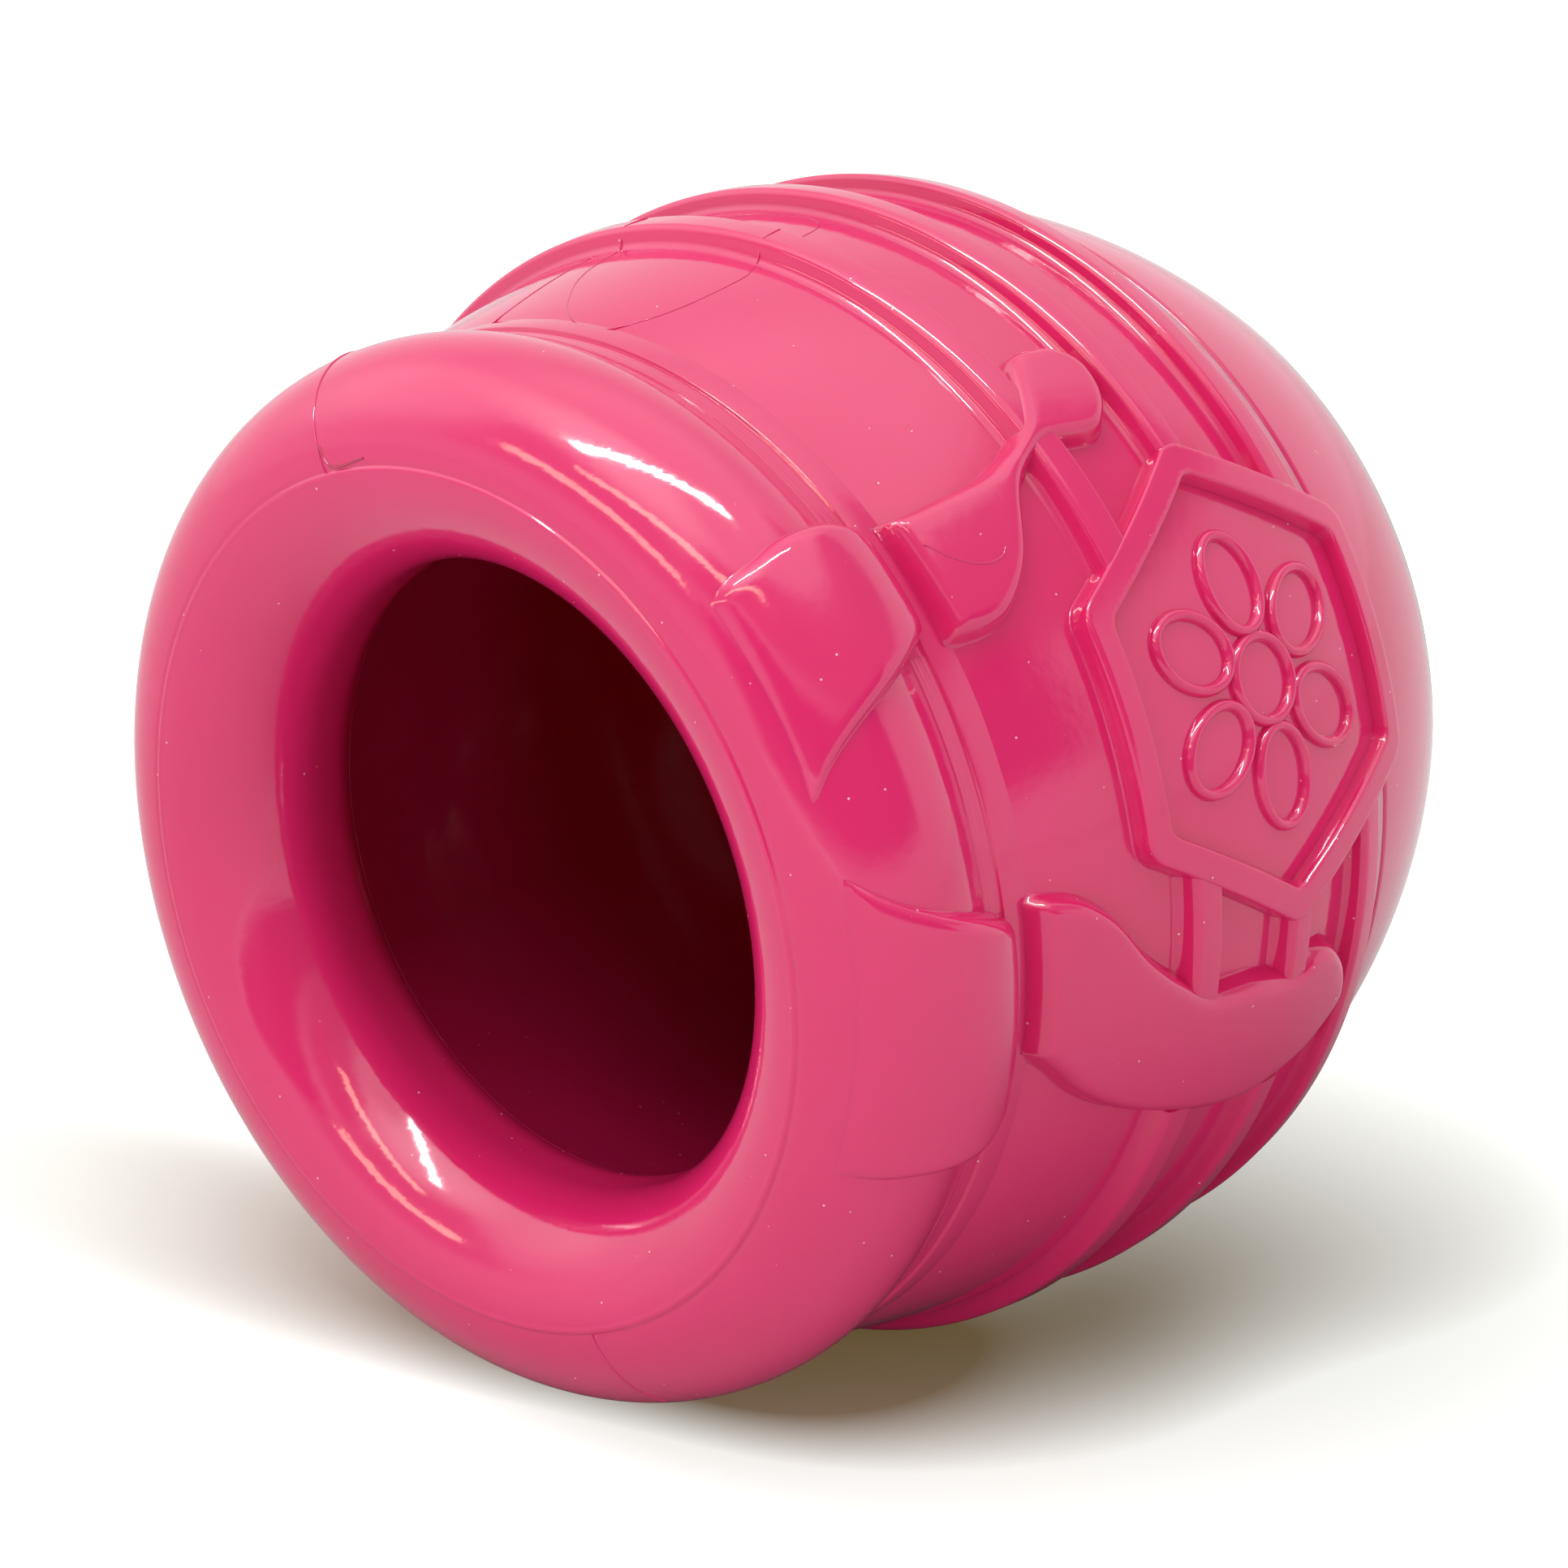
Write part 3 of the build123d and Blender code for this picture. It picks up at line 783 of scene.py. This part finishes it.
# Honey pads on the lip, thick at the neck and fading towards the crown
upper_pad = [
    (10.8, 1.5), (9.3, 2.7), (7.8, 5.0), (6.2, 8.8), (4.9, 12.0), (4.2, 13.6), (2.8, 14.9),
    (-3.2, 14.9), (-4.9, 14.1), (-5.8, 12.4), (-6.3, 10.0), (-6.2, 6.7), (-5.6, 4.4), (-5.2, 2.6),
    (-4.5, 1.6)]
lower_pad = [
    (8.3, 1.3), (8.6, 2.8), (8.7, 5.4), (8.7, 8.6), (8.3, 11.4), (6.8, 13.6), (4.6, 14.7),
    (-6.8, 14.7), (-8.4, 13.9), (-9.6, 11.5), (-11.6, 6.1), (-12.8, 3.5), (-14.1, 1.8)]
for name, picks, angle in (("upper_honey_pad", upper_pad, 48.0),
                           ("lower_honey_pad", lower_pad, 95.0)):
    side = smooth_curve([(across, roll_place(place)) for across, place in picks], LOOP_STEP)
    pad = raised_patch([shut(side)], moulded_edge(1.0, HONEY_FOOT, PAD_ROUND), lip_spot(angle))
    piece(name, [pad], name)


# Floor, which keeps the pot's shadow, partly cast and partly painted, and looks white round it
PAPER, PALE_PAPER = (0.64, 0.68, 0.66, 1.0), (0.66, 0.70, 0.68, 1.0)
# Painted shade: the paper is darker near the pot
PAINTED_SHADE_PAPER = (0.13, 0.135, 0.128, 1.0)
# Glow for the camera: dim and warm where it paints the pot's shadow, white further off
SHADOW_GLOW, CLEAR_GLOW = (0.104, 0.069, 0.022, 1.0), (0.765, 0.776, 0.741, 1.0)
GLOW_RANGE, GLOW_START = 0.62, 4.683
FLOOR_REACH = 4


def floor_paper():
    """Pale paper, painted shade near the pot, and a glow for the camera that is white further off.

    Where the glow stays low round the pot, it paints a shadow over the cast one.
    """
    material = bpy.data.materials.new("floor_paper")
    web = empty_web(material)
    spot = web.node("ShaderNodeTexCoord").outputs["Object"]
    fibres = web.value("ShaderNodeTexNoise", None, {"Vector": spot, "Scale": 400.0, "Detail": 2.0})
    way = web.node("ShaderNodeSeparateXYZ", None, {"Vector": spot})
    x, y = (Value(web, out) for out in way.outputs[:2])

    def patch(centre, reach, turn):
        """1 in the middle of an oval on the floor, turned by degrees, fading outwards."""
        off_x, off_y = x * (1 / MM) - centre[0], y * (1 / MM) - centre[1]
        run, fall = cos(radians(turn)), sin(radians(turn))
        long = (off_x * run + off_y * fall) * (1 / reach[0])
        wide = (off_y * run - off_x * fall) * (1 / reach[1])
        spread = long * long + wide * wide
        return (spread * spread + 1.0).math("POWER", -1.0)

    # Painted shade: the paper darkens in an oval round the pot
    near = patch((8.0, 18.0), (60.0, 48.0), 0.0)
    pale = web.mix(fibres, PAPER, PALE_PAPER)
    paper = web.node("ShaderNodeBsdfDiffuse", None, {"Color": web.mix(near, pale, PAINTED_SHADE_PAPER)})
    # Painted shadow: three ovals round the pot where the camera's glow stays low
    clear = (GLOW_START - patch((24.4, -13.3), (37.0, 25.2), 138.7) * 0.828
             - patch((-55.6, -30.8), (29.6, 88.1), -83.7) * 4.373
             - patch((13.3, 48.9), (68.3, 47.3), -30.7) * 4.058)
    lit = (clear * (1 / GLOW_RANGE)).math("MAXIMUM", 0.0).math("MINIMUM", 1.0)
    seen = web.node("ShaderNodeLightPath").outputs["Is Camera Ray"]
    glow = web.node("ShaderNodeEmission", None,
                    {"Color": web.mix(lit, SHADOW_GLOW, CLEAR_GLOW), "Strength": seen})
    both = web.node("ShaderNodeAddShader", None, {0: paper.outputs[0], 1: glow.outputs[0]})
    web.node("ShaderNodeOutputMaterial", None, {"Surface": both.outputs[0]})
    return material


floor_mesh = bpy.data.meshes.new("floor")
floor_mesh.from_pydata([(FLOOR_REACH * x, FLOOR_REACH * y, 0)
                        for x, y in ((-1, -1), (1, -1), (1, 1), (-1, 1))], [], [(0, 1, 2, 3)])
floor_mesh.materials.append(floor_paper())
floor = added("floor", floor_mesh)


# Light
def studio_world():
    """White room with darker parts behind the camera, by azimuth and height in degrees."""
    world = bpy.data.worlds.new("studio")
    bpy.context.scene.world = world
    web = empty_web(world)
    way = web.node("ShaderNodeSeparateXYZ", None,
                   {"Vector": web.node("ShaderNodeTexCoord").outputs["Generated"]})
    x, y, z = (Value(web, out) for out in way.outputs)
    azimuth = x.math("ARCTAN2", y * -1.0) * (180 / pi)
    height = z.math("ARCSINE") * (180 / pi)

    def zone(value, start, end, soft):
        """1 between two edges, going softly to 0 outside them."""
        return (value - start).smooth(-soft, soft) * (1.0 - (value - end).smooth(-soft, soft))

    def glow(centre, middle, reach):
        """1 round a direction, going to 0 at a reach."""
        off, rise = (azimuth - centre) * cos(radians(middle)), height - middle
        return 1.0 - (off * off + rise * rise).math("SQRT").smooth(0.3 * reach, reach)

    dark_top = (height - azimuth * 0.1).smooth(19.0, 27.0)
    dark = zone(azimuth, -3.0, 118.0, 4.0) * (height - azimuth * 0.12).smooth(-7.0, 1.0) \
        * (1.0 - dark_top)
    dim = zone(azimuth, -46.0, -3.0, 5.0) * zone(height, 12.0, 43.0, 5.0)
    shade = zone(azimuth, -3.0, 165.0, 6.0) * zone(height, 30.0, 55.0, 4.0) \
        * (1.0 - (height - azimuth).smooth(30.0, 42.0))
    bright = 1.0 + height.smooth(40.0, 64.0) * 0.65 + glow(-72.0, 35.0, 31.0) * 0.75 \
        + glow(-25.0, 64.0, 30.0) * 1.4
    room = bright * (1.0 - dark * 0.85) * (1.0 - dim * 0.38) * (1.0 - shade * 0.58)
    seen = Value(web, web.node("ShaderNodeLightPath").outputs["Is Camera Ray"])
    sky = web.node("ShaderNodeBackground", None, {
        "Color": (1.0, 0.99, 1.0, 1.0), "Strength": room * (1.0 - seen) + seen})
    web.node("ShaderNodeOutputWorld", None, {"Surface": sky.outputs[0]})


studio_world()

POT_MIDDLE = Vector((0, 0, 0.045))
WHITE, WARM = (1.0, 1.0, 1.0), (1.0, 0.60, 0.40)


def lamp(name, centre, run, size, brightness, color=WHITE, shine=True):
    """Flat lamp that faces the pot, with its length along a run, for shine or else for fill."""
    data = bpy.data.lights.new(name, "AREA")
    data.shape, (data.size, data.size_y) = "RECTANGLE", size
    data.energy, data.color = brightness * pi * size[0] * size[1], color
    made = added(name, data)
    back = (Vector(centre) - POT_MIDDLE).normalized()
    across = (Vector(run) - back * back.dot(Vector(run))).normalized()
    made.matrix_world = placed(Vector(centre), across, back.cross(across), back)
    made.visible_camera = False
    made.visible_glossy, made.visible_diffuse = shine, not shine


lamp("ceiling_bar", (-0.05, -0.29, 1.045), (0.66, 0.75, 0.0), (0.95, 0.06), 50.0)
lamp("warm_bar_high", (0.03, -1.00, 1.045), (0.95, 0.32, 0.0), (1.1, 0.09), 8.5, WARM)
lamp("warm_bar_low", (-0.8, -2.04, 1.045), (0.95, -0.25, 0.0), (1.3, 0.20), 7.5, WARM)
lamp("overhead_fill", (-0.1, -0.3, 1.2), (1.0, 0.0, 0.0), (0.8, 0.8), 0.15, shine=False)
lamp("right_fill", (1.0, -0.5, 0.45), (0.45, 0.9, 0.0), (0.9, 0.7), 1.25, shine=False)
lamp("front_fill", (0.3, -1.05, 0.12), (1.0, 0.0, 0.0), (0.9, 0.2), 4.0, shine=False)

# Camera
EYE, AHEAD = Vector((0.2792, -0.31266, 0.1896)), Vector((-0.6364, 0.6956, -0.3333)).normalized()
RIGHT = AHEAD.cross(Vector((0, 0, 1))).normalized()
view = bpy.data.cameras.new("camera")
view.sensor_width, view.lens = 36.0, 130.43
camera = added("camera", view)
camera.matrix_world = placed(EYE, RIGHT, RIGHT.cross(AHEAD), -AHEAD)
bpy.context.scene.camera = camera
bpy.context.scene.view_settings.view_transform = "Standard"
